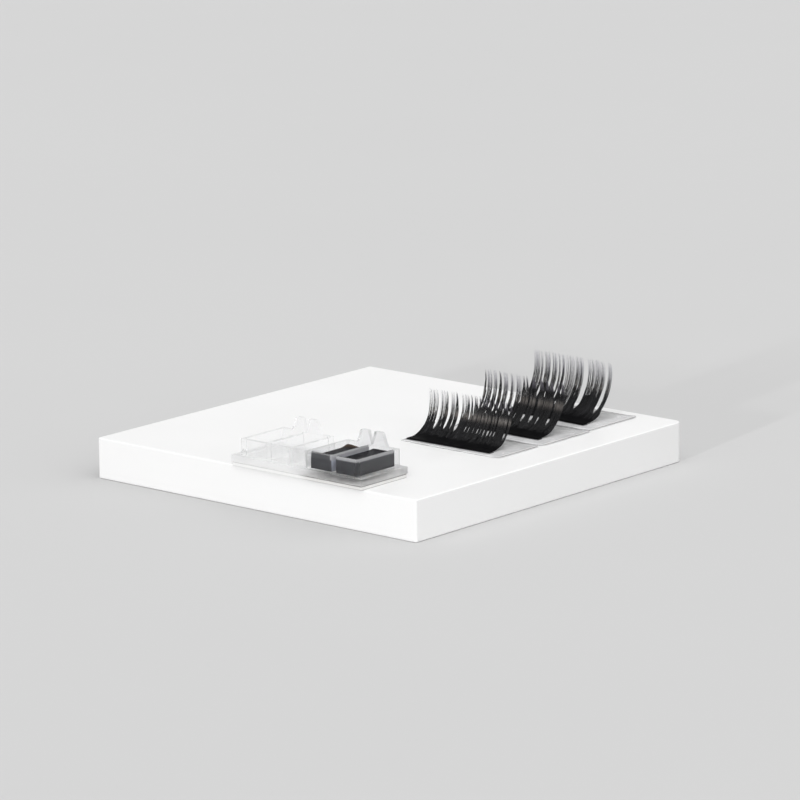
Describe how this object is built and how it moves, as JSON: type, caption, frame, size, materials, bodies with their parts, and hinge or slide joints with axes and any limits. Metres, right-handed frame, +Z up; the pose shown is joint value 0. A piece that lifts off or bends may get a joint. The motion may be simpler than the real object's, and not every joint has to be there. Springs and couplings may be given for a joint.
{
  "type": "lash extension tile",
  "caption": "White square slab that carries a strip of clear two-well glue cups, with dark glue in one of them, and rows of curled black lashes on clear film.",
  "frame": {"origin": "centre of the slab's underside", "axes": "+Z up out of the slab's top, -Y towards the edge that the glue cups stand along, +Y towards the longest lashes"},
  "size_m": [0.1, 0.101, 0.024],
  "materials": {
    "tile_white": "satin white",
    "clear_plastic": "clear, polished",
    "clear_tape": "clear, soft",
    "dark_glue": "wet, near black",
    "clear_film": "clear film",
    "black_band": "black adhesive tape",
    "black_lash": "black fibre with a soft sheen"
  },
  "bodies": {
    "tile": {"tile_slab": "tile_white"},
    "cups": {"cup_strip": "clear_plastic", "cup_tape": "clear_tape", "glue_pool_left": "dark_glue", "glue_pool_right": "dark_glue"},
    "lash_strip_front": {"lash_film_front": "clear_film", "lash_band_front": "black_band", "lashes_front": "black_lash"},
    "lash_strip_middle": {"lash_film_middle": "clear_film", "lash_band_middle": "black_band", "lashes_middle": "black_lash"},
    "lash_strip_back": {"lash_film_back": "clear_film", "lash_band_back": "black_band", "lashes_back": "black_lash"}
  },
  "joints": [
    {"name": "cups_lift", "type": "slide", "parent": "tile", "child": "cups", "axis": [0, 0, 1], "range_m": [0, 0.03]},
    {"name": "lash_front_lift", "type": "slide", "parent": "tile", "child": "lash_strip_front", "axis": [0, 0, 1], "range_m": [0, 0.03]},
    {"name": "lash_middle_lift", "type": "slide", "parent": "tile", "child": "lash_strip_middle", "axis": [0, 0, 1], "range_m": [0, 0.03]},
    {"name": "lash_back_lift", "type": "slide", "parent": "tile", "child": "lash_strip_back", "axis": [0, 0, 1], "range_m": [0, 0.03]}
  ]
}
